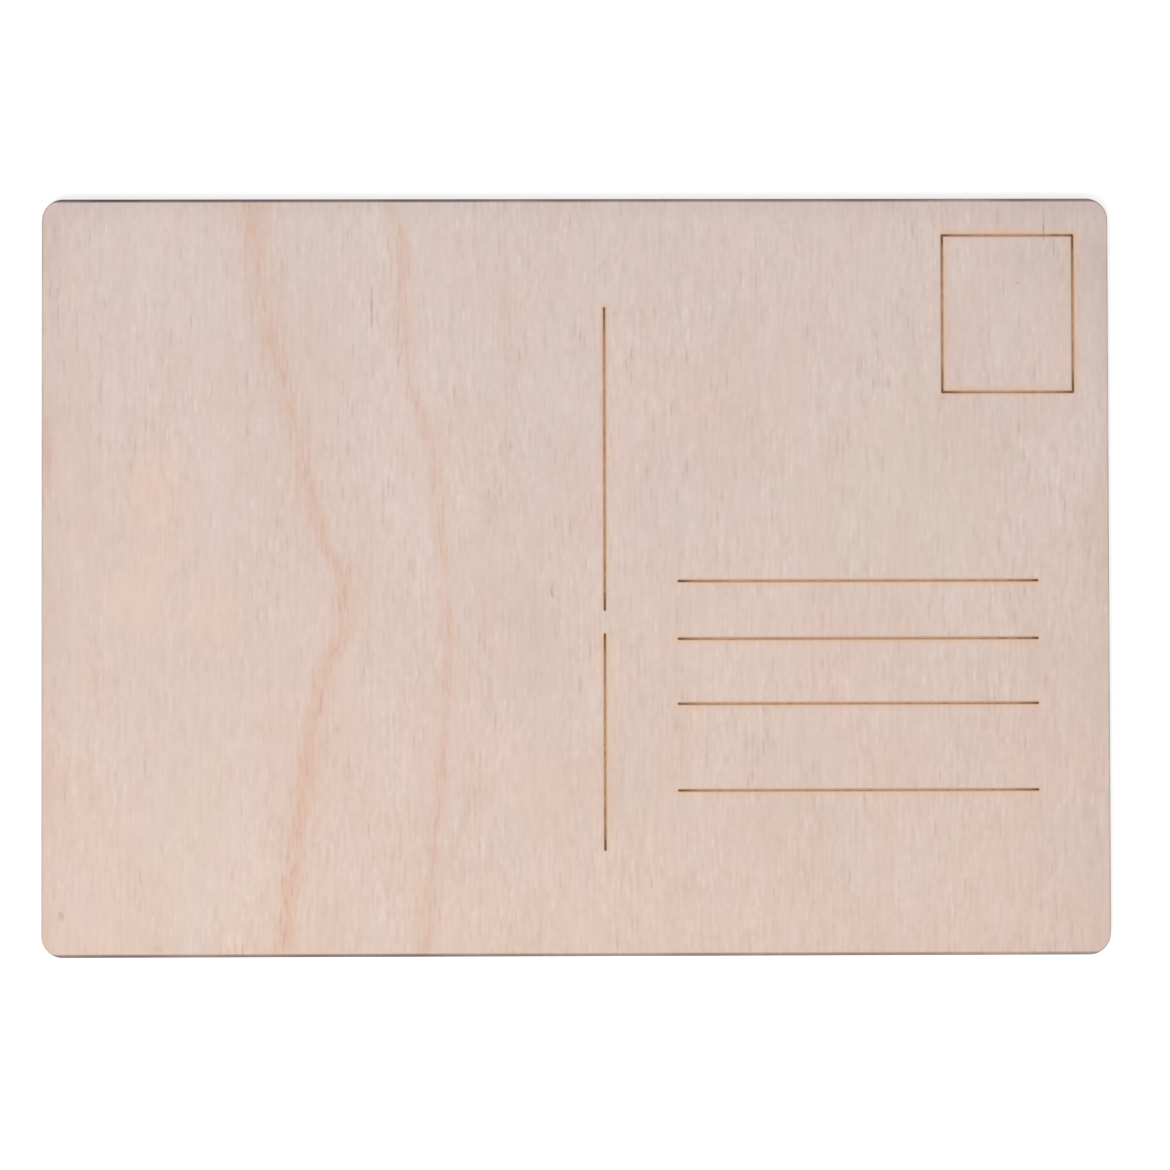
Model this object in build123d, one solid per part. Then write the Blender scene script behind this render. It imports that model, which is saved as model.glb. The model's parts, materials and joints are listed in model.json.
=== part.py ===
"""Wooden A6 postcard: three cross-laid veneers glued into a thin card, laser cut and laser engraved.

The card lies face up. The origin is the centre of its back, X runs along the long side,
Y towards the edge above the stamp frame, and Z out of the written face. Millimetres.
"""

import os

from build123d import *

# Card blank
CARD_LENGTH = 148.0
CARD_HEIGHT = 105.0
CORNER_RADIUS = 3.0
ARRIS_RADIUS = 0.2

# Layers, from the back of the card to its face
BACK_VENEER = 0.6
CORE_VENEER = 0.7
FRONT_VENEER = 0.6
GLUE_FILM = 0.05

# Engraved line: a narrow groove whose walls and floor are a skin of burnt wood
LINE_WIDTH = 0.3
GROOVE_DEPTH = 0.2
CHAR_SKIN = 0.05

# Stamp frame, on the centres of its lines
STAMP_WIDTH = 18.15
STAMP_HEIGHT = 21.8
STAMP_SIDE_MARGIN = 4.95
STAMP_TOP_MARGIN = 5.15

# Divider between the message and the address, drawn as an upper and a lower stroke
DIVIDER_OFFSET = 3.95
DIVIDER_TOP_MARGIN = 15.1
DIVIDER_BOTTOM_MARGIN = 14.6
DIVIDER_BREAK_DROP = 4.7
DIVIDER_BREAK = 3.15

# Address lines, from a lead beside the divider to a margin inside the card's right edge.
# The first lies just under the card's middle, and each pitch leads down to the next line.
ADDRESS_LEAD = 10.1
ADDRESS_SIDE_MARGIN = 9.9
ADDRESS_DROP = 0.6
UPPER_ADDRESS_PITCH = 8.0
MIDDLE_ADDRESS_PITCH = 9.0
LOWER_ADDRESS_PITCH = 12.0

# Places worked out from the sizes above
RIGHT = CARD_LENGTH / 2
TOP = CARD_HEIGHT / 2
CORE_BOTTOM = BACK_VENEER + GLUE_FILM
CORE_TOP = CORE_BOTTOM + CORE_VENEER
FRONT_BOTTOM = CORE_TOP + GLUE_FILM
FACE = FRONT_BOTTOM + FRONT_VENEER
SPOT_RADIUS = LINE_WIDTH / 2


def layer(bottom, thickness):
    """One full sheet of the card, with the rounded corners that the laser cuts."""
    outline = RectangleRounded(CARD_LENGTH, CARD_HEIGHT, CORNER_RADIUS)
    return extrude(Pos(0, 0, bottom) * outline, thickness)


def back_veneer():
    """Outer veneer that the card lies on, with its lower edge eased."""
    sheet = layer(0, BACK_VENEER)
    rim = sheet.faces().sort_by(Axis.Z)[0].outer_wire().edges()
    return fillet(rim, ARRIS_RADIUS)


def front_veneer(marks):
    """Outer veneer that is written on, with its upper edge eased and the grooves burnt into it."""
    sheet = layer(FRONT_BOTTOM, FRONT_VENEER)
    rim = sheet.faces().sort_by(Axis.Z)[-1].outer_wire().edges()
    sheet = fillet(rim, ARRIS_RADIUS)
    for strokes in marks.values():
        sheet -= groove(strokes)
    return sheet


def swept_spot(strokes, width):
    """Area that a round laser spot covers along straight strokes, each from one spot centre to another."""
    area = Sketch()
    for start, end in strokes:
        middle = (start + end) / 2
        area += SlotCenterPoint(middle, end, width)
    return area


def groove(strokes):
    """Wood that the laser takes out of the front veneer along the strokes."""
    area = swept_spot(strokes, LINE_WIDTH)
    return extrude(Pos(0, 0, FACE - GROOVE_DEPTH) * area, GROOVE_DEPTH)


def char_lining(strokes):
    """Burnt skin on the walls and the floor of a groove, open at the card's face."""
    hollow_depth = GROOVE_DEPTH - CHAR_SKIN
    area = swept_spot(strokes, LINE_WIDTH - 2 * CHAR_SKIN)
    return groove(strokes) - extrude(Pos(0, 0, FACE - hollow_depth) * area, hollow_depth)


def stamp_strokes():
    """The four sides of the stamp frame, set in from the card's upper right corner."""
    right = RIGHT - STAMP_SIDE_MARGIN
    top = TOP - STAMP_TOP_MARGIN
    left = right - STAMP_WIDTH
    bottom = top - STAMP_HEIGHT
    corners = [Vector(left, bottom), Vector(right, bottom), Vector(right, top), Vector(left, top)]
    return list(zip(corners, corners[1:] + corners[:1]))


def upright_stroke(upper_tip, lower_tip):
    """A divider stroke between two tips, which the round spot reaches half its width early."""
    start = Vector(DIVIDER_OFFSET, upper_tip - SPOT_RADIUS)
    end = Vector(DIVIDER_OFFSET, lower_tip + SPOT_RADIUS)
    return [(start, end)]


def address_stroke(height):
    """One address line, between its two tips."""
    start = Vector(DIVIDER_OFFSET + ADDRESS_LEAD + SPOT_RADIUS, height)
    end = Vector(RIGHT - ADDRESS_SIDE_MARGIN - SPOT_RADIUS, height)
    return [(start, end)]


def engraved_marks():
    """Every engraved mark by name, as its strokes."""
    marks = {
        "stamp_frame": stamp_strokes(),
        "divider_upper": upright_stroke(TOP - DIVIDER_TOP_MARGIN, -DIVIDER_BREAK_DROP),
        "divider_lower": upright_stroke(
            -DIVIDER_BREAK_DROP - DIVIDER_BREAK, -TOP + DIVIDER_BOTTOM_MARGIN
        ),
    }
    height = 0
    drops = (ADDRESS_DROP, UPPER_ADDRESS_PITCH, MIDDLE_ADDRESS_PITCH, LOWER_ADDRESS_PITCH)
    for number, drop in enumerate(drops, start=1):
        height -= drop
        marks[f"address_line_{number}"] = address_stroke(height)
    return marks


def card_pieces():
    """Every piece of the card by its node name, from the back to the face."""
    marks = engraved_marks()
    pieces = {
        "back_veneer": back_veneer(),
        "back_glue_film": layer(BACK_VENEER, GLUE_FILM),
        "core_veneer": layer(CORE_BOTTOM, CORE_VENEER),
        "front_glue_film": layer(CORE_TOP, GLUE_FILM),
        "front_veneer": front_veneer(marks),
    }
    for name, strokes in marks.items():
        pieces[f"{name}_char"] = char_lining(strokes)
    return pieces


os.makedirs("parts", exist_ok=True)
for node, piece in card_pieces().items():
    export_step(piece, f"parts/{node}.step")
    print(f"{node}: {piece.volume:.3f} mm3")
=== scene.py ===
"""Looks of a wooden A6 postcard: three cross-laid veneers glued into a thin card, laser cut and engraved.

Metres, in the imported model's frame. The card lies on its back, X runs along its long side,
Y towards the edge above the stamp frame, and Z out of the written face. Finishes are worked out
in millimetres on the card.
"""

import json
import math
from collections import namedtuple

import bmesh
import bpy
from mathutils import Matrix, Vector

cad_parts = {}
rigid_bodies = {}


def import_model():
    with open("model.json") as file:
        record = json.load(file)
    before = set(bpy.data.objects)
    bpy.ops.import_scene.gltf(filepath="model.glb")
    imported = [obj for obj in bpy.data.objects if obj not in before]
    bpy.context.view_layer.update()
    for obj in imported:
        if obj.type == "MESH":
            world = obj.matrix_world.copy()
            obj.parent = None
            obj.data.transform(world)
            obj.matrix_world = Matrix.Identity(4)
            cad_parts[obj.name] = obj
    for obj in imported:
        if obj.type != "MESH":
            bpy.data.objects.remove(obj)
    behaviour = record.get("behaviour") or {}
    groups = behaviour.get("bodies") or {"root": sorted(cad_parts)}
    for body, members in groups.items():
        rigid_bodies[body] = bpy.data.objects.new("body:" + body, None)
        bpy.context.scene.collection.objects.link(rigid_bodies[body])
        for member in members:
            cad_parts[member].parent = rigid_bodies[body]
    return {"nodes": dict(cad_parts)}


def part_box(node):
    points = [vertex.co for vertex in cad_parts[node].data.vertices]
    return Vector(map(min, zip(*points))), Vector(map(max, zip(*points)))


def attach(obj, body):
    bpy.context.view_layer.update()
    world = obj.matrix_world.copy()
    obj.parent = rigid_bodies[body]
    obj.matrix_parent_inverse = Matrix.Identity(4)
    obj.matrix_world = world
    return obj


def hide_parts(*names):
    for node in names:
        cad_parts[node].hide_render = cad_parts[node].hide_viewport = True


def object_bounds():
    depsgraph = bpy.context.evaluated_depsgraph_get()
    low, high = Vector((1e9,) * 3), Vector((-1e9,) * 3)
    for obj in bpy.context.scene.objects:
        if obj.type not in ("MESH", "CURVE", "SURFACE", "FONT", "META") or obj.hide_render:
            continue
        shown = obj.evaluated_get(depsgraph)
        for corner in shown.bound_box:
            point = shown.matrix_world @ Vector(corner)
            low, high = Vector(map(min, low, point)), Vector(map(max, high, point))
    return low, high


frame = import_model()
cad_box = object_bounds()

# Back veneer: the bare leaf that the card lies on, peeled from a pale log and sanded. Its grain runs
# along the card's short side, and it is glued to the core all over. The laser browned its rim,
# most on the end grain of the two long edges, and its lower arris is eased.
MM = 0.001
CORNER_RADIUS = 3.0 * MM
CORNER_STEPS = 16
ARRIS_RADIUS = 0.2 * MM
ARRIS_STEPS = 4
VENEER_SETBACK = 0.02 * MM
SMOOTHING_ANGLE = math.radians(40)


def pick(piece):
    """Make a piece the active one, and the only one that is selected."""
    bpy.ops.object.select_all(action="DESELECT")
    piece.select_set(True)
    bpy.context.view_layer.objects.active = piece


def choose(piece, kind, wanted):
    """Select, in edit mode, only the vertices or the edges that are wanted by the places of their ends."""
    bpy.ops.mesh.select_mode(type=kind)
    bpy.ops.mesh.select_all(action="DESELECT")
    mesh = bmesh.from_edit_mesh(piece.data)
    if kind == "VERT":
        chosen = [vertex for vertex in mesh.verts if wanted(vertex.co)]
    else:
        chosen = [edge for edge in mesh.edges if wanted(edge.verts[0].co, edge.verts[1].co)]
    for part in chosen:
        part.select_set(True)
    bmesh.update_edit_mesh(piece.data)


def cut_leaf(name, node, setback):
    """A leaf as thick as its CAD node, with the card's round corners, its rim burnt back by the setback."""
    low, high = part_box(node)
    size = high - low
    bpy.ops.object.select_all(action="DESELECT")
    bpy.ops.mesh.primitive_cube_add(size=1)
    leaf = bpy.context.object
    leaf.name = name
    bpy.ops.object.mode_set(mode="EDIT")
    bpy.ops.transform.resize(value=(size.x - 2 * setback, size.y - 2 * setback, size.z))
    bpy.ops.transform.translate(value=(low + high) / 2)
    choose(leaf, "EDGE", lambda start, end: abs(start.z - end.z) > size.z / 2)
    bpy.ops.mesh.bevel(offset=CORNER_RADIUS - setback, segments=CORNER_STEPS)
    bpy.ops.object.mode_set(mode="OBJECT")
    return leaf


def ease_arris(leaf, height):
    """Round the rim of the face that lies at this height."""
    bpy.ops.object.mode_set(mode="EDIT")
    nearly = ARRIS_RADIUS / 10
    choose(leaf, "EDGE", lambda start, end: max(abs(start.z - height), abs(end.z - height)) < nearly)
    bpy.ops.mesh.bevel(offset=ARRIS_RADIUS, segments=ARRIS_STEPS)
    bpy.ops.object.mode_set(mode="OBJECT")


def smooth_rounds(piece):
    """Shade the round parts smooth, with the flat faces left flat."""
    pick(piece)
    bpy.ops.object.shade_smooth_by_angle(angle=SMOOTHING_ANGLE)
    flat = piece.modifiers.new("flat_faces", "WEIGHTED_NORMAL")
    flat.keep_sharp = True
    bpy.ops.object.modifier_apply(modifier=flat.name)


def bend_curve(mapping, points):
    """Lead a curve node through these points, which run from 0 to 1 both ways."""
    curve = mapping.curves[0]
    for index, place in enumerate(points):
        if index < len(curve.points):
            curve.points[index].location = place
        else:
            curve.points.new(*place)
    mapping.update()


class Tone:
    """One value of a finish as it changes over a surface: a node's socket, with Python's operators."""

    def __init__(self, tree, socket):
        self.tree = tree
        self.socket = socket

    def node(self, kind, settings, inputs, output=0):
        """A new node, with its settings made first and then the numbers or links of its sockets."""
        node = self.tree.nodes.new(kind)
        for name, setting in settings.items():
            if name == "points":
                bend_curve(node.mapping, setting)
            else:
                setattr(node, name, setting)
        for name, value in inputs.items():
            if isinstance(value, Tone):
                self.tree.links.new(value.socket, node.inputs[name])
            else:
                node.inputs[name].default_value = value
        return Tone(self.tree, node.outputs[output])

    def other(self, output):
        """Another output of the node that this value comes from."""
        return Tone(self.tree, self.socket.node.outputs[output])

    def feed(self, socket):
        """Lead this value into a shader's socket."""
        self.tree.links.new(self.socket, socket)

    def maths(self, operation, *values):
        """A Math node on these values, some of which may be numbers."""
        return self.node("ShaderNodeMath", {"operation": operation}, dict(enumerate(values)))

    def __add__(self, other):
        return self.maths("ADD", self, other)

    def __sub__(self, other):
        return self.maths("SUBTRACT", self, other)

    def __rsub__(self, other):
        return self.maths("SUBTRACT", other, self)

    def __mul__(self, other):
        return self.maths("MULTIPLY", self, other)

    def __truediv__(self, other):
        return self.maths("DIVIDE", self, other)

    def __pow__(self, power):
        return self.maths("POWER", self, power)

    def __abs__(self):
        return self.maths("ABSOLUTE", self)

    __radd__ = __add__
    __rmul__ = __mul__

    def least(self, other):
        """The smaller of two values."""
        return self.maths("MINIMUM", self, other)

    def most(self, other):
        """The larger of two values."""
        return self.maths("MAXIMUM", self, other)

    def rise(self, start, end):
        """0 at start, 1 at end and beyond it, with a smooth slope between, whichever is larger."""
        inputs = {"Value": self, "From Min": start, "From Max": end}
        return self.node("ShaderNodeMapRange", {"interpolation_type": "SMOOTHSTEP"}, inputs)

    def span(self, first, second):
        """The number this share of the way from the first number to the second."""
        return first + (second - first) * self

    def between(self, first, second):
        """The colour this share of the way from the first colour to the second."""
        return self.node("ShaderNodeMix", {"data_type": "RGBA"}, {0: self, 6: first, 7: second}, 2)

    def shade(self, colour):
        """A colour times this value."""
        return self.node("ShaderNodeVectorMath", {"operation": "SCALE"}, {0: colour, "Scale": self})

    def lighten(self, colour, light):
        """A colour with this share of a light added to it, or taken away where the share is negative."""
        inputs = {0: light, 1: self, 2: colour}
        return self.node("ShaderNodeVectorMath", {"operation": "MULTIPLY_ADD"}, inputs)


def new_finish(name):
    """A new material, and its shader."""
    material = bpy.data.materials.new(name)
    material.use_nodes = True
    return material, material.node_tree.nodes["Principled BSDF"]


def place_on(material):
    """The place on a piece of this material along X, Y and Z, in millimetres."""
    tree = material.node_tree
    place = Tone(tree, tree.nodes.new("ShaderNodeTexCoord").outputs["Object"])
    x = place.node("ShaderNodeSeparateXYZ", {}, {0: place})
    return [axis / MM for axis in (x, x.other("Y"), x.other("Z"))]


def paint(red, green, blue):
    """A colour as a screen shows it, 0 to 255, in the linear numbers that the shader takes."""
    linear = []
    for level in (red, green, blue):
        share = level / 255
        linear.append(share / 12.92 if share <= 0.04045 else ((share + 0.055) / 1.055) ** 2.4)
    return (*linear, 1.0)


# A pattern in the wood, drawn out along the grain: how wide and how long its spots are in millimetres,
# where its random draw starts, how strongly it shows, and how many finer layers lie on it.
# Most soft spots lie within the noise range. A streak reaches this far in its own cell, and is faint
# or missing where the cell's draw lies low in the chance.
Pattern = namedtuple("Pattern", "wide long seed share detail", defaults=(1.0, 0.0))
NOISE_RANGE = (0.3, 0.7)
STREAK_REACH = 0.42
STREAK_CHANCE = (0.4, 0.95)


def pattern_place(grain, pattern, seed):
    """Where a place across the grain, along it and in its depth lies in a pattern with spots of size 1."""
    across, along, level = grain
    start = seed + pattern.seed
    inputs = {0: across / pattern.wide, 1: along / pattern.long, 2: level / pattern.wide + start}
    return across.node("ShaderNodeCombineXYZ", {}, inputs)


def fibres(grain, pattern, seed=0.0):
    """A pattern's soft spots, from 0 to 1."""
    where = pattern_place(grain, pattern, seed)
    inputs = {"Vector": where, "Scale": 1.0, "Detail": pattern.detail}
    return where.node("ShaderNodeTexNoise", {"noise_dimensions": "3D"}, inputs)


def swing(grain, pattern, seed=0.0):
    """A pattern's soft spots as a change up and down, by half its share each way."""
    return pattern.share * (fibres(grain, pattern, seed) - 0.5)


def streaks(grain, pattern, seed=0.0):
    """A pattern's short streaks, each by itself: its share in the middle of a streak, 0 between them."""
    where = pattern_place(grain, pattern, seed)
    cells = where.node("ShaderNodeTexVoronoi", {}, {"Vector": where, "Scale": 1.0})
    draw = cells.other("Color")
    chance = draw.node("ShaderNodeSeparateColor", {}, {0: draw})
    return pattern.share * cells.rise(STREAK_REACH, 0.0) * chance.rise(*STREAK_CHANCE)


# A change over the whole card runs between these places, just inside its edges. The ground is pale,
# tan and pink wood, with more tan for each millimetre down the card: painted warmth of the light, cooler at
# the top.
LEFT, RIGHT = -70.0, 70.0
BOTTOM, TOP = -50.0, 50.0
PALE_WOOD = paint(225, 208, 201)
TAN_WOOD = paint(220, 194, 176)
PINK_WOOD = paint(229, 197, 189)
PORE_BROWN = paint(170, 145, 130)
STRAND_LIGHT = paint(209, 200, 197)[:3]
TAN_SHARE = 0.48
PAINTED_WARMTH_BELOW = 0.005
CLOUDS = Pattern(wide=8.0, long=16.0, seed=0.0, share=0.85, detail=4.0)
PINK_SHARE = 0.06
BLUSH = Pattern(wide=10.0, long=15.0, seed=7.9, share=0.25, detail=2.0)
BLUSH_RANGE = (0.45, 0.75)
MOTTLE = Pattern(wide=2.4, long=3.6, seed=61.7, share=0.25)
STRANDS = (
    Pattern(wide=0.58, long=1.0, seed=11.3, share=0.105),
    Pattern(wide=0.55, long=3.2, seed=23.7, share=0.135),
    Pattern(wide=0.6, long=11.0, seed=31.9, share=0.07),
)
FINE_GRAIN = 0.65
COARSE_GRAIN = Pattern(wide=5.0, long=14.0, seed=43.3, share=0.45)
COARSE_RIGHT = 0.11
BANDS = Pattern(wide=2.2, long=40.0, seed=37.1, share=0.07, detail=1.0)
BROAD_BANDS = Pattern(wide=16.0, long=26.0, seed=53.9, share=0.06)
FLECKS = Pattern(wide=0.65, long=3.0, seed=59.3, share=0.105)
PORES = Pattern(wide=0.7, long=4.6, seed=41.9, share=0.28)


def bare_wood(grain, seed):
    """Colour of bare sanded veneer, and the height of its fibres from about -1 to 1."""
    across, along, _ = grain
    # More tan lower down the card is painted warmth of the light.
    tan = TAN_SHARE + swing(grain, CLOUDS, seed) - PAINTED_WARMTH_BELOW * along
    blush = fibres(grain, BLUSH, seed).rise(*BLUSH_RANGE)
    pink = PINK_SHARE + BLUSH.share * blush + swing(grain, MOTTLE, seed)
    ground = pink.between(tan.between(PALE_WOOD, TAN_WOOD), PINK_WOOD)
    patches = fibres(grain, COARSE_GRAIN, seed).rise(*NOISE_RANGE)
    coarse = FINE_GRAIN + COARSE_GRAIN.share * patches + COARSE_RIGHT * across.rise(LEFT, 0)
    strands = [fibres(grain, pattern, seed) - 0.5 for pattern in STRANDS]
    light = coarse * sum(pattern.share * strand for pattern, strand in zip(STRANDS, strands))
    light = light + swing(grain, BANDS, seed) + swing(grain, BROAD_BANDS, seed)
    light = light + streaks(grain, FLECKS, seed)
    pores = coarse * streaks(grain, PORES, seed)
    colour = pores.between(light.lighten(ground, STRAND_LIGHT), PORE_BROWN)
    return colour, sum(strands) - pores


card_half = (cad_box[1] - cad_box[0]) / 2 / MM
card_corner = CORNER_RADIUS / MM


def past_corners(x, y, half, radius):
    """How far a place lies along X and along Y past the centres of a rounded rectangle's corners."""
    return abs(x) - (half.x - radius), abs(y) - (half.y - radius)


def distance(x, y):
    """Length of a straight way that goes this far along X and along Y."""
    return (x * x + y * y) ** 0.5


def outline_depth(x, y, half, radius):
    """Depth inside a rounded rectangle about the origin, in millimetres."""
    past_x, past_y = past_corners(x, y, half, radius)
    outside = distance(past_x.most(0), past_y.most(0))
    inside = past_x.most(past_y).least(0)
    return radius - outside - inside


# Each reach goes from the depth inside the outline where a burn fades out to the depth where it is full.
# A pair of shares goes from the card's lower edge to its upper one, or from its left end to its right.
# The grey inside the rim is part laser smoke and part painted shade, with more of it towards the upper
# edge.
SMOKE_AND_SHADE_GREY = paint(150, 132, 132)
SMOKE_AND_SHADE_REACH = (4.0, 0.2)
SMOKE_AND_SHADE_SHARE = (0.02, 0.08)
SIDE_RIM_BROWN = paint(128, 116, 114)
SIDE_RIM_REACH = (0.4, 0.05)
SIDE_RIM_SHARE = 0.28
SIDE_RIM_FLICKER = Pattern(wide=0.7, long=4.0, seed=0.0, share=0.5)
END_RIM_BROWN = paint(88, 72, 78)
END_RIM_REACH = (0.6, 0.3)
END_RIM_ACROSS = (0.95, 0.67)
END_RIM_UPWARDS = (0.78, 0.94)
END_RIM_DRIFT = Pattern(wide=9.0, long=40.0, seed=5.3, share=0.5)


def scorch_rim(colour, grain, seed):
    """A leaf's face with its rim burnt: dark on end grain, light brown on side grain, smoked inwards, and
    greyed with painted shade that grows towards the upper edge.
    """
    across, along, _ = grain
    upwards = along.rise(BOTTOM, TOP)
    depth = outline_depth(across, along, card_half, card_corner)
    # Grey band inside the rim: smoke, plus painted shade that darkens it towards the upper edge.
    smoke = depth.rise(*SMOKE_AND_SHADE_REACH) * upwards.span(*SMOKE_AND_SHADE_SHARE)
    colour = smoke.between(colour, SMOKE_AND_SHADE_GREY)
    side = depth.rise(*SIDE_RIM_REACH) * (SIDE_RIM_SHARE + swing(grain, SIDE_RIM_FLICKER, seed))
    colour = side.between(colour, SIDE_RIM_BROWN)
    strength = across.rise(LEFT, RIGHT).span(*END_RIM_ACROSS) + swing(grain, END_RIM_DRIFT, seed)
    strength = strength * upwards.span(*END_RIM_UPWARDS)
    end = (card_half.y - abs(along)).rise(*END_RIM_REACH) * strength
    return end.least(1).between(colour, END_RIM_BROWN)


END_CHAR = paint(72, 54, 46)
SIDE_CHAR = paint(150, 118, 94)
END_GRAIN_RANGE = (0.1, 0.9)
EDGE_STREAKS = Pattern(wide=0.35, long=0.35, seed=0.0, share=0.5, detail=2.0)
EDGE_STREAK_STRETCH = 20
EDGE_STREAK_SHADE = (0.5, 1.3)
EDGE_PATCHES = Pattern(wide=4.0, long=4.0, seed=9.7, share=0.5)
EDGE_REACH = (0.06, 0.01)
HAIR = 0.001


def char_edge(colour, place, setback, grain_along_y, seed):
    """A leaf with its cut edge burnt in upright streaks, nearly black on end grain, brown on side grain."""
    x, y, z = place
    out_x, out_y = (past.most(0) for past in past_corners(x, y, card_half, card_corner))
    faces_y = out_y / distance(out_x, out_y).most(HAIR)
    end_grain = faces_y if grain_along_y else 1 - faces_y
    upright = fibres((x, y, z / EDGE_STREAK_STRETCH), EDGE_STREAKS, seed)
    tone = end_grain.rise(*END_GRAIN_RANGE) + EDGE_STREAKS.share * (upright - 0.5)
    tone = tone + swing(place, EDGE_PATCHES, seed)
    burnt = upright.span(*EDGE_STREAK_SHADE).shade(tone.between(SIDE_CHAR, END_CHAR))
    depth = outline_depth(x, y, card_half, card_corner) - setback / MM
    return depth.rise(*EDGE_REACH).between(colour, burnt)


FIBRE_HEIGHT = 0.012 * MM
WOOD_SPECULAR = 0.25
WOOD_ROUGHNESS = 0.65
FIBRE_ROUGHNESS = 0.1


def sand(shader, colour, relief):
    """Finish bare wood: matt, with the fibres standing a little proud of the pores."""
    colour.feed(shader.inputs["Base Color"])
    shader.inputs["Specular IOR Level"].default_value = WOOD_SPECULAR
    roughness = WOOD_ROUGHNESS + FIBRE_ROUGHNESS * relief
    roughness.feed(shader.inputs["Roughness"])
    inputs = {"Height": relief, "Distance": FIBRE_HEIGHT, "Strength": 1.0}
    relief.node("ShaderNodeBump", {}, inputs).feed(shader.inputs["Normal"])


back_veneer = cut_leaf("back_veneer_leaf", "back_veneer", VENEER_SETBACK)
ease_arris(back_veneer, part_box("back_veneer")[0].z)
smooth_rounds(back_veneer)
material, shader = new_finish("bare_back_veneer")
place = place_on(material)
colour, relief = bare_wood(place, seed=3.37)
colour = scorch_rim(colour, place, seed=71.4)
colour = char_edge(colour, place, VENEER_SETBACK, grain_along_y=True, seed=15.1)
sand(shader, colour, relief)
back_veneer.data.materials.append(material)
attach(back_veneer, "root")
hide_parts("back_veneer")

# Glue films: hardened wood glue that holds the core between the outer veneers, pressed out thin.
# Only their rims show, as two dark lines round the edge of the card, where the laser cut them.
GLUE_SETBACK = 0.0 * MM
GLUE_BROWN = paint(92, 66, 48)
GLUE_BLACK = paint(52, 38, 32)
GLUE_BEADS = Pattern(wide=0.5, long=0.5, seed=7.7, detail=2.0)

for node in ("back_glue_film", "front_glue_film"):
    film = cut_leaf(node + "_line", node, GLUE_SETBACK)
    smooth_rounds(film)
    material, shader = new_finish("burnt_" + node)
    beads = fibres(place_on(material), GLUE_BEADS)
    colour = beads.rise(*NOISE_RANGE).between(GLUE_BROWN, GLUE_BLACK)
    sand(shader, colour, beads)
    film.data.materials.append(material)
    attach(film, "root")
    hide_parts(node)

# Core veneer: the middle leaf, laid with its grain along the card's long side so that the card
# stays flat. It is glued on both faces. Its rim burnt darkest on the short edges, where its end grain is.
CORE_SETBACK = 0.05 * MM

core = cut_leaf("core_veneer_leaf", "core_veneer", CORE_SETBACK)
smooth_rounds(core)
material, shader = new_finish("bare_core_veneer")
place = place_on(material)
x, y, z = place
colour, relief = bare_wood((y, x, z), seed=8.21)
colour = char_edge(colour, place, CORE_SETBACK, grain_along_y=False, seed=27.3)
sand(shader, colour, relief)
core.data.materials.append(material)
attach(core, "root")
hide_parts("core_veneer")

# Front veneer: the bare leaf that is written on, cut and sanded like the back one, with the grooves
# of the engraved lines burnt into it. Two growth rings run up it as slanting tan streaks,
# and the laser's heat browned the wood a little beside each line.
LINE_WIDTH = 0.3 * MM
LONG_SIDE = 4 * LINE_WIDTH
STEADY_ENDS = 1.5 * LINE_WIDTH
END_STEPS = 5
RAG_STEP = 0.8 * MM
RAG = 0.02 * MM
# Each step of a trough goes this far inwards and this far down.
GROOVE_STEPS = ((0.03 * MM, -0.11 * MM), (0.03 * MM, -0.06 * MM), (0.03 * MM, -0.03 * MM))
CUTTER_LIFT = 1.0 * MM
WELD_REACH = 0.001 * MM
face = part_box("front_veneer")[1].z
marks = sorted(node for node in frame["nodes"] if node.endswith("_char"))


def line_footprint(node, seed):
    """The patch of the face that a mark's lines cover, with slightly ragged sides and rounded corners."""
    low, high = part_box(node)
    size = high - low
    middle = (low + high) / 2
    spot = LINE_WIDTH / 2
    nearly = LINE_WIDTH / 10

    def near_corner(place, inset, reach):
        across = abs(abs(place.x - middle.x) + inset - size.x / 2)
        along = abs(abs(place.y - middle.y) + inset - size.y / 2)
        return max(across, along) < reach

    bpy.ops.object.select_all(action="DESELECT")
    bpy.ops.mesh.primitive_plane_add(size=1)
    patch = bpy.context.object
    bpy.ops.object.mode_set(mode="EDIT")
    bpy.ops.transform.resize(value=(size.x, size.y, 1))
    bpy.ops.transform.translate(value=(middle.x, middle.y, face))
    if min(size.x, size.y) > 2 * LINE_WIDTH:
        bpy.ops.mesh.inset(thickness=LINE_WIDTH)
        bpy.ops.mesh.delete(type="FACE")
        choose(patch, "VERT", lambda place: near_corner(place, 0, nearly))
        bpy.ops.mesh.bevel(offset=spot, segments=1, affect="VERTICES")
        choose(patch, "VERT", lambda place: near_corner(place, spot / math.sqrt(2), nearly))
        bpy.ops.mesh.dissolve_verts()
    else:
        choose(patch, "VERT", lambda place: near_corner(place, 0, nearly))
        bpy.ops.mesh.bevel(offset=spot, segments=END_STEPS, affect="VERTICES")
        bpy.ops.mesh.select_all(action="SELECT")
        bpy.ops.mesh.remove_doubles(threshold=nearly / 2)
    for side in range(2):
        if size[side] > LONG_SIDE:
            choose(patch, "EDGE", lambda start, end: abs(start[side] - end[side]) > LONG_SIDE)
            bpy.ops.mesh.subdivide(number_cuts=int(size[side] / RAG_STEP))
    choose(patch, "VERT", lambda place: not near_corner(place, 0, STEADY_ENDS))
    bpy.ops.transform.vertex_random(offset=RAG, uniform=0, normal=0, seed=seed)
    bpy.ops.mesh.select_all(action="SELECT")
    bpy.ops.transform.resize(value=(1, 1, 0), center_override=(0, 0, face))
    bpy.ops.object.mode_set(mode="OBJECT")
    return patch


def sink(steps):
    """Sink the selected patch into a trough, a step inwards and down at a time."""
    for inwards, down in steps:
        bpy.ops.mesh.inset(thickness=inwards, depth=down)


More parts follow.
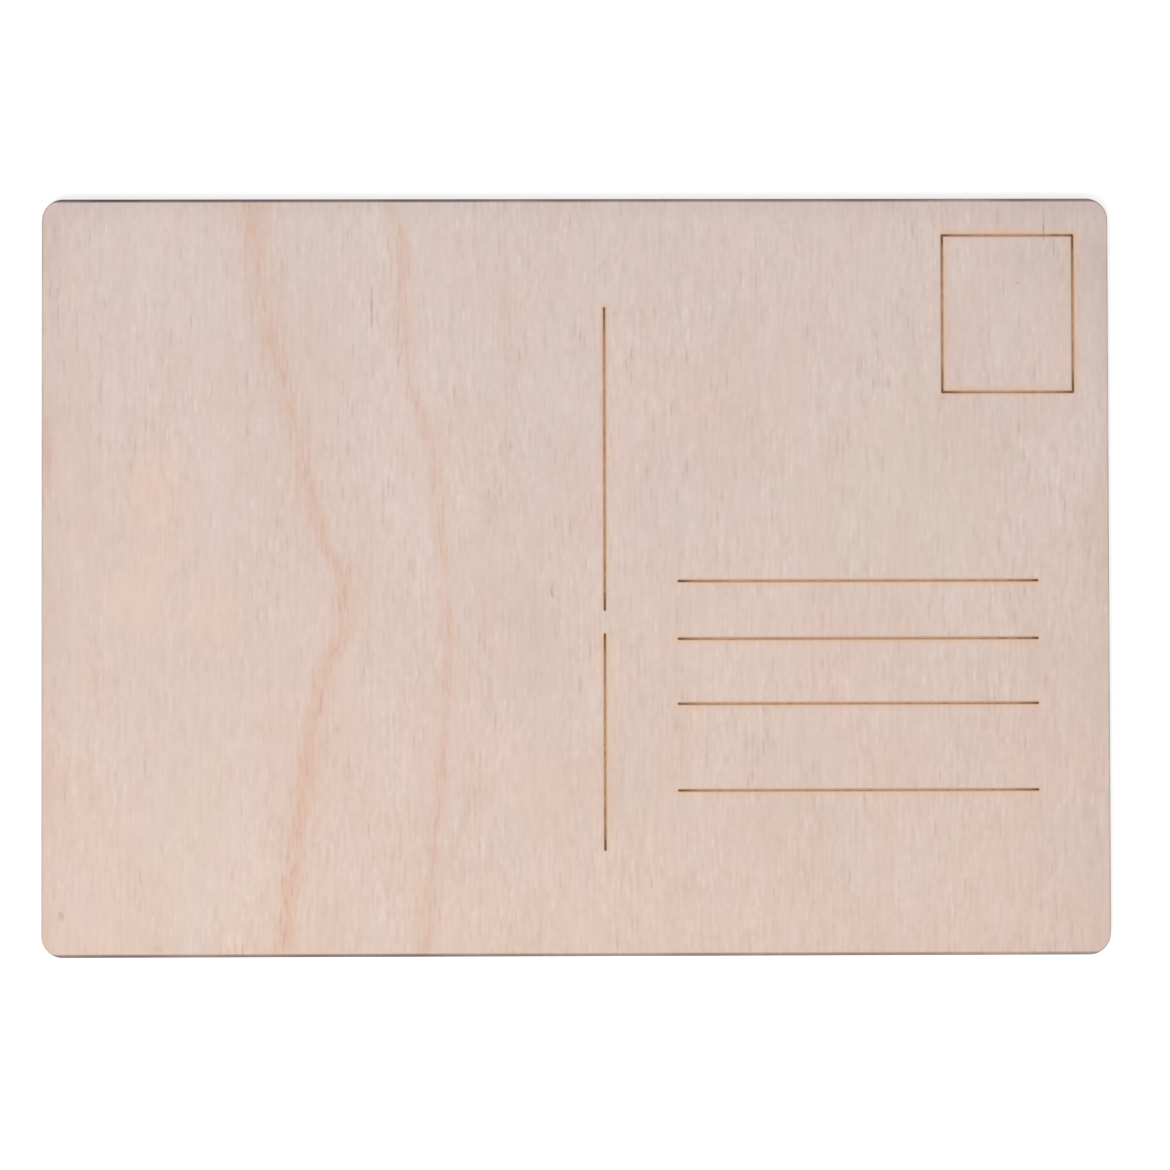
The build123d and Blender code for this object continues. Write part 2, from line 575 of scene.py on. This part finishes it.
def weld(piece):
    """Join vertices that all but touch, and turn every face outwards."""
    pick(piece)
    bpy.ops.object.mode_set(mode="EDIT")
    bpy.ops.mesh.select_all(action="SELECT")
    bpy.ops.mesh.remove_doubles(threshold=WELD_REACH)
    bpy.ops.mesh.normals_make_consistent(inside=False)
    bpy.ops.object.mode_set(mode="OBJECT")


front_veneer = cut_leaf("front_veneer_leaf", "front_veneer", VENEER_SETBACK)
ease_arris(front_veneer, face)
footprints = {}
for seed, node in enumerate(marks):
    footprints[node] = line_footprint(node, seed)
    bpy.ops.object.duplicate()
    cutter = bpy.context.object
    bpy.ops.object.mode_set(mode="EDIT")
    bpy.ops.mesh.select_all(action="SELECT")
    sink(GROOVE_STEPS)
    bpy.ops.mesh.select_all(action="SELECT")
    bpy.ops.mesh.extrude_region_move(TRANSFORM_OT_translate={"value": (0, 0, CUTTER_LIFT)})
    bpy.ops.mesh.select_all(action="SELECT")
    bpy.ops.mesh.normals_make_consistent(inside=False)
    bpy.ops.object.mode_set(mode="OBJECT")
    groove = front_veneer.modifiers.new("groove", "BOOLEAN")
    groove.operation = "DIFFERENCE"
    groove.solver = "EXACT"
    groove.object = cutter
    bpy.context.view_layer.objects.active = front_veneer
    bpy.ops.object.modifier_apply(modifier=groove.name)
    bpy.data.objects.remove(cutter)
weld(front_veneer)
smooth_rounds(front_veneer)

# A growth ring: its path as points up the card and across it, its width, and its strength below and
# above. The reaches in a ring are shares of its width, from its middle.
Ring = namedtuple("Ring", "path wide below above seed")
LEFT_RING = Ring(
    path=((-52.5, -41.0), (-38.0, -38.9), (-24.0, -37.2), (-12.0, -34.2), (-4.0, -32.0),
          (5.0, -35.0), (18.0, -38.1), (34.0, -42.2), (52.5, -45.3)),
    wide=2.4, below=1.25, above=0.8, seed=51.7,
)
RIGHT_RING = Ring(
    path=((-52.5, -20.9), (-33.0, -19.3), (-19.0, -18.0), (-5.0, -17.7), (8.0, -18.8),
          (20.0, -20.7), (30.0, -23.4), (42.0, -24.0), (52.5, -26.0)),
    wide=1.6, below=0.8, above=0.7, seed=83.2,
)
RING_STRENGTH_HEIGHTS = (-30.0, 30.0)
RING_SPREAD_HEIGHTS = (0.0, 45.0)
RING_SPREAD = (1.0, 1.25)
RING_WANDER = Pattern(wide=9.0, long=12.0, seed=5.9, share=1.1, detail=2.0)
RING_STRANDS = Pattern(wide=0.5, long=5.0, seed=0.0)
RING_TAN = paint(220, 183, 161)
RING_BAND_FRAY = 1.3
RING_BAND_REACH = (1.5, 0.0)
RING_BAND_SHARE = 0.18
RING_CORE_REACH = (0.8, 0.1)
RING_CORE_TONE = Pattern(wide=0.4, long=2.8, seed=3.1)
RING_CORE_SHARE = (0.17, 0.45)
RING_BROWN = paint(193, 144, 115)
RING_DASH_SHARE = 0.27
RING_DASHES = Pattern(wide=0.38, long=2.6, seed=13.7, detail=1.0)
RING_DASH_RANGE = (0.54, 0.72)
RING_LINE_FRAY = 0.6
RING_LINE_REACH = (0.1, 0.02)
RING_LINE_BREAKS = Pattern(wide=0.7, long=4.5, seed=21.3)
RING_LINE_RANGE = (0.45, 0.65)


def growth_ring(grain, ring):
    """Late wood of a growth ring along its path up the card: its soft band, and the dark dashes in it."""
    across, along, _ = grain
    heights, places = zip(*ring.path)
    low, high = heights[0], heights[-1]
    left, right = min(places), max(places)
    points = [
        ((height - low) / (high - low), (place - left) / (right - left)) for height, place in ring.path
    ]
    share = (along - low) / (high - low)
    middle = share.node("ShaderNodeFloatCurve", {"points": points}, {"Value": share}).span(left, right)
    width = ring.wide * along.rise(*RING_SPREAD_HEIGHTS).span(*RING_SPREAD)
    off = (across - middle + swing(grain, RING_WANDER, ring.seed)) / width
    strand = swing(grain, RING_STRANDS, ring.seed)
    frayed = abs(off + RING_BAND_FRAY * strand)
    core = frayed.rise(*RING_CORE_REACH)
    tone = fibres(grain, RING_CORE_TONE, ring.seed).rise(*NOISE_RANGE)
    band = RING_BAND_SHARE * frayed.rise(*RING_BAND_REACH) + core * tone.span(*RING_CORE_SHARE)
    dashes = core * fibres(grain, RING_DASHES, ring.seed).rise(*RING_DASH_RANGE)
    broken = fibres(grain, RING_LINE_BREAKS, ring.seed).rise(*RING_LINE_RANGE)
    line = abs(off + RING_LINE_FRAY * strand).rise(*RING_LINE_REACH) * broken
    strength = along.rise(*RING_STRENGTH_HEIGHTS).span(ring.below, ring.above)
    return band * strength, dashes.most(line) * strength


def soft_spot(x, y, spot, reach):
    """1 in the middle of an oval, falling softly to 0 at its rim."""
    off_x = (x - spot[0]) / reach[0]
    off_y = (y - spot[1]) / reach[1]
    return (off_x * off_x + off_y * off_y).rise(1.0, 0.0)


# Faint patches and small dark marks of the wood, and painted shade in the card's two upper corners: the
# middle, the reach and the strength of each.
ORANGE_TINT = paint(244, 200, 170)
RUST_TINT = paint(206, 168, 148)
YELLOW_TINT = paint(236, 206, 184)
BEIGE_TINT = paint(212, 190, 174)
GREY_TINT = paint(206, 190, 184)
PALE_TINT = paint(228, 218, 202)
TINTS = (
    ((-74.0, -8.0), (9.0, 75.0), 0.08, RUST_TINT),
    # The two grey patches at the upper corners are painted shade, which dims those corners.
    ((-76.0, 54.0), (18.0, 14.0), 0.06, SMOKE_AND_SHADE_GREY),
    ((76.0, 54.0), (26.0, 24.0), 0.1, SMOKE_AND_SHADE_GREY),
    ((-51.7, -32.0), (10.0, 26.0), 0.17, PALE_TINT),
    ((43.5, 12.4), (18.0, 20.0), 0.15, PALE_TINT),
    ((-58.2, 12.8), (3.6, 4.4), 0.15, ORANGE_TINT),
    ((-57.5, 10.0), (7.0, 13.0), 0.1, ORANGE_TINT),
    ((-74.2, 17.0), (2.6, 8.0), 0.3, RUST_TINT),
    ((-74.2, -49.0), (2.8, 6.0), 0.16, RUST_TINT),
    ((-74.2, -28.0), (2.8, 12.0), 0.11, RUST_TINT),
    ((-60.3, -3.1), (5.5, 6.0), 0.3, YELLOW_TINT),
    ((-50.6, -3.8), (5.0, 6.0), 0.3, YELLOW_TINT),
    ((24.0, 24.0), (10.0, 13.0), 0.1, YELLOW_TINT),
    ((30.7, -31.6), (12.0, 16.0), 0.15, BEIGE_TINT),
    ((8.0, -27.0), (9.0, 14.0), 0.2, BEIGE_TINT),
    ((-4.1, -13.6), (6.0, 13.0), 0.22, GREY_TINT),
    ((12.0, 13.0), (7.0, 10.0), 0.12, GREY_TINT),
)
TINT_MOTTLE = Pattern(wide=2.5, long=5.0, seed=67.1, detail=3.0)
TINT_MOTTLE_RANGE = (0.25, 0.75)
FIBRE_DARK = paint(128, 106, 94)
BLEMISHES = (
    ((-28.3, 37.1), (0.25, 4.4), 0.25),
    ((-3.35, -1.8), (0.33, 1.5), 0.32),
    ((65.07, 47.8), (0.16, 1.45), 0.92),
    ((65.07, 49.5), (0.2, 4.0), 0.15),
    ((61.35, 40.73), (0.22, 0.25), 0.25),
    ((-71.3, -46.8), (0.6, 1.0), 0.2),
    ((-57.8, -51.2), (0.9, 0.7), 0.2),
    ((-71.7, 37.7), (0.2, 4.5), 0.1),
    ((-69.1, 34.1), (0.22, 3.6), 0.12),
    ((-65.8, 22.2), (0.2, 8.0), 0.1),
)
BLEMISH_RAGS = Pattern(wide=0.4, long=1.4, seed=73.3)
UNEVEN_SHARE = (0.5, 1.5)

# The wood browned beside a line: a wide halo that the smoke laid a little to one side, and a narrow lip.
HALO_TAN = paint(231, 191, 155)
HALO_REACH = (0.95, 0.1)
HALO_SHARE = (0.3, 0.75)
HALO_SMOKE = Pattern(wide=1.6, long=1.6, seed=57.7, detail=2.0)
SMOKE_DRIFT = {
    "stamp": Vector((0.2, 0.2, 0)),
    "divider": Vector((0.1, 0, 0)),
    "address": Vector((0, -0.15, 0)),
}
LIP_BROWN = paint(180, 140, 112)
LIP_REACH = (0.36, 0.1)
LIP_SHARE = 0.75


def from_line(x, y, middle, half):
    """Distance from the middle of a mark's lines, in millimetres."""
    return abs(outline_depth(x - middle.x, y - middle.y, half, 0.0))


material, shader = new_finish("bare_front_veneer")
place = place_on(material)
x, y, _ = place
colour, relief = bare_wood(place, seed=5.83)
for ring in (LEFT_RING, RIGHT_RING):
    band, dashes = growth_ring(place, ring)
    colour = band.between(colour, RING_TAN)
    colour = (RING_DASH_SHARE * dashes).between(colour, RING_BROWN)
mottle = fibres(place, TINT_MOTTLE).rise(*TINT_MOTTLE_RANGE).span(*UNEVEN_SHARE)
for spot, reach, strength, tint in TINTS:
    colour = (strength * soft_spot(x, y, spot, reach) * mottle).between(colour, tint)
ragged = fibres(place, BLEMISH_RAGS).rise(*NOISE_RANGE).span(*UNEVEN_SHARE)
for spot, reach, strength in BLEMISHES:
    colour = (strength * soft_spot(x, y, spot, reach) * ragged).between(colour, FIBRE_DARK)
smoke = fibres(place, HALO_SMOKE).rise(*NOISE_RANGE).span(*HALO_SHARE)
for node in marks:
    low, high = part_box(node)
    middle = (low + high) / 2 / MM
    half = (high - low - Vector((LINE_WIDTH, LINE_WIDTH, 0))) / 2 / MM
    drift = SMOKE_DRIFT[node.split("_")[0]]
    halo = from_line(x, y, middle + drift, half).rise(*HALO_REACH)
    colour = (halo * smoke).between(colour, HALO_TAN)
    lip = from_line(x, y, middle, half).rise(*LIP_REACH)
    colour = (LIP_SHARE * lip).between(colour, LIP_BROWN)
colour = scorch_rim(colour, place, seed=17.9)
colour = char_edge(colour, place, VENEER_SETBACK, grain_along_y=True, seed=39.6)
sand(shader, colour, relief)
front_veneer.data.materials.append(material)
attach(front_veneer, "root")
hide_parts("front_veneer")

# Engraved lines: the stamp frame, the divider's two strokes and the four address lines. Each is a
# groove that the laser burnt into the front veneer, lined with a skin of brown char that is the
# veneer's own wood, darkest where the beam rests to start, turn or end. Painted shade makes the upright
# strokes and the ends of the level lines darker.
LINING_STEPS = ((0.03 * MM, 0.0), (0.03 * MM, -0.09 * MM), (0.03 * MM, -0.05 * MM))
DWELL_REACH = 2.5 * MM
UPRIGHT_PAINTED_SHADE = 0.18
CHAR_BROWN = paint(208, 170, 142)
CHAR_DARK = paint(132, 98, 76)
CHAR_SHARE = 0.04
CHAR_GRAINS = Pattern(wide=0.9, long=0.9, seed=29.3, share=0.9, detail=1.0)

char, shader = new_finish("burnt_line")
grains = fibres(place_on(char), CHAR_GRAINS)
burn = grains.node("ShaderNodeAttribute", {"attribute_name": "burn"}, {}, "Fac")
tone = CHAR_SHARE + burn + CHAR_GRAINS.share * (grains - 0.5)
sand(shader, tone.between(CHAR_BROWN, CHAR_DARK), grains)
for node in marks:
    patch = footprints[node]
    patch.name = node + "_lining"
    pick(patch)
    bpy.ops.object.mode_set(mode="EDIT")
    bpy.ops.mesh.select_all(action="SELECT")
    bpy.ops.mesh.duplicate()
    sink(GROOVE_STEPS)
    bpy.ops.mesh.select_linked()
    bpy.ops.mesh.flip_normals()
    bpy.ops.mesh.select_all(action="INVERT")
    sink(LINING_STEPS)
    bpy.ops.object.mode_set(mode="OBJECT")
    weld(patch)
    low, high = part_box(node)
    corners = [Vector((across, along, face)) for across in (low.x, high.x) for along in (low.y, high.y)]
    heat = patch.data.attributes.new("burn", "FLOAT", "POINT")
    for vertex, warmth in zip(patch.data.vertices, heat.data):
        nearest = min((vertex.co - corner).length for corner in corners)
        warmth.value = math.exp(-nearest / DWELL_REACH)
        # Painted shade: the char near a mark's left and right ends, on its upright strokes, is made darker.
        if min(vertex.co.x - low.x, high.x - vertex.co.x) < 2 * LINE_WIDTH:
            warmth.value += UPRIGHT_PAINTED_SHADE
    patch.data.materials.append(char)
    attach(patch, "root")
    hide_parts(node)

# Floor: a plain pale table that the card lies on. It renders white to the camera and in reflections,
# and still takes the card's soft shadow.
FLOOR_SIZE = 4.0
FLOOR_GAP = 0.02 * MM
FLOOR_PALE = (0.8, 0.8, 0.8, 1.0)
FLOOR_ROUGHNESS = 0.9
FLOOR_LIFT = 0.54
WHITE = (1.0, 1.0, 1.0, 1.0)


def seen_rays(tree):
    """1 for a ray that shows a surface, straight, in a reflection or through glass, and 0 for the rest."""
    seen = Tone(tree, tree.nodes.new("ShaderNodeLightPath").outputs["Is Camera Ray"])
    return seen.most(seen.other("Is Glossy Ray")).most(seen.other("Is Transmission Ray"))


bpy.ops.object.select_all(action="DESELECT")
bpy.ops.mesh.primitive_plane_add(size=FLOOR_SIZE)
floor = bpy.context.object
floor.name = "floor"
bpy.ops.object.mode_set(mode="EDIT")
bpy.ops.transform.translate(value=(0, 0, cad_box[0].z - FLOOR_GAP))
bpy.ops.object.mode_set(mode="OBJECT")
material, shader = new_finish("pale_floor")
shader.inputs["Base Color"].default_value = FLOOR_PALE
shader.inputs["Roughness"].default_value = FLOOR_ROUGHNESS
shader.inputs["Specular IOR Level"].default_value = 0.0
shader.inputs["Emission Color"].default_value = WHITE
lift = FLOOR_LIFT * seen_rays(material.node_tree)
lift.feed(shader.inputs["Emission Strength"])
floor.data.materials.append(material)

# Light: an even white dome and one soft lamp beyond the card's lower left corner, which leaves the
# upper right a little dimmer. Together they light the face so that a colour shows as it is written.
DOME_STRENGTH = 0.58
LAMP_PLACE = Vector((-0.15, -0.33, 0.45))
LAMP_SIZE = 0.35
LAMP_POWER = 1.75

world = bpy.data.worlds.new("white_dome")
world.use_nodes = True
sky = world.node_tree.nodes["Background"]
sky.inputs["Color"].default_value = WHITE
strength = seen_rays(world.node_tree).span(DOME_STRENGTH, 1)
strength.feed(sky.inputs["Strength"])
bpy.context.scene.world = world

bpy.ops.object.light_add(type="AREA", location=LAMP_PLACE)
lamp = bpy.context.object
lamp.data.size = LAMP_SIZE
lamp.data.energy = LAMP_POWER
lamp.rotation_euler = LAMP_PLACE.to_track_quat("Z", "Y").to_euler()

# Camera: almost straight above the card and a little towards its lower left, as in the photograph,
# with a long lens that keeps the card's sides nearly parallel.
CAMERA_LENS = 100.0
CAMERA_DISTANCE = 450.2 * MM
CAMERA_TILT = math.radians(1.06)
CAMERA_TURN = math.radians(-0.62)
CAMERA_ROLL = math.radians(-0.14)
CAMERA_AIM = Vector((1.21 * MM, -1.13 * MM, 2.0 * MM))

bpy.ops.object.camera_add(rotation=(CAMERA_TILT, CAMERA_TURN, CAMERA_ROLL))
camera = bpy.context.object
camera.data.lens = CAMERA_LENS
camera.location = CAMERA_AIM + camera.rotation_euler.to_matrix() @ Vector((0, 0, CAMERA_DISTANCE))
bpy.context.scene.camera = camera
bpy.context.scene.view_settings.view_transform = "Standard"
